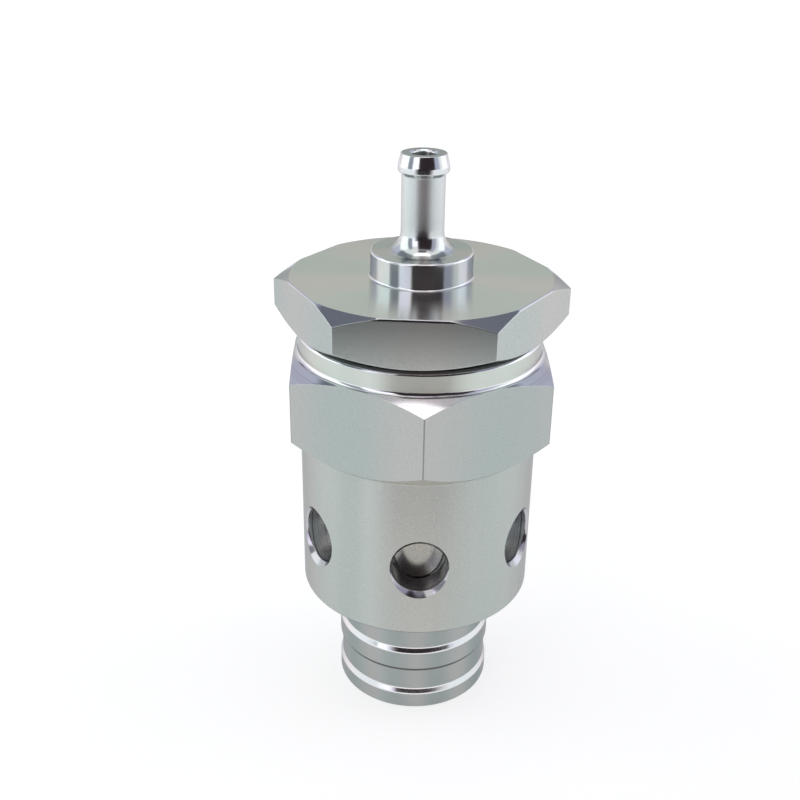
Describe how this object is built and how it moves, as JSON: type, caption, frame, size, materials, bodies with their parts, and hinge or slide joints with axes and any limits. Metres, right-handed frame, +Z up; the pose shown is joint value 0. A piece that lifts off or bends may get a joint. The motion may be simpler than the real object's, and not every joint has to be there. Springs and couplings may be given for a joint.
{
  "type": "blow off valve",
  "caption": "Turned aluminium blow off valve: barbed hose spigot, vented drum and hexagonal body, sprung piston inside, hexagonal cap with a vacuum nipple.",
  "frame": {"origin": "centre of the spigot's end face, on the axis that all pieces share", "axes": "+Z up the axis from the hose spigot to the vacuum nipple; -Y faces the picture's viewer, with a vent and a corner of the body hexagon on it"},
  "size_m": [0.0442, 0.0442, 0.0889],
  "materials": {
    "machined_aluminium": "fine turned and milled, bright satin",
    "piston_aluminium": "smooth turned, bright",
    "seal_rubber": "moulded, satin black",
    "spring_steel": "drawn wire, bright",
    "shim_steel": "stamped, bright"
  },
  "bodies": {
    "housing": {"body": "machined_aluminium", "cap": "machined_aluminium", "cap_o_ring": "seal_rubber", "spring_shim": "shim_steel", "return_spring": "spring_steel"},
    "piston_group": {"piston": "piston_aluminium", "piston_o_ring": "seal_rubber", "seat_o_ring": "seal_rubber"}
  },
  "joints": [
    {"name": "piston_slide", "type": "slide", "parent": "housing", "child": "piston_group", "axis": [0, 0, 1], "range_m": [0, 0.013], "stiffness_N_per_m": 1200, "springref_m": -0.012, "deforming": ["return_spring"]}
  ]
}
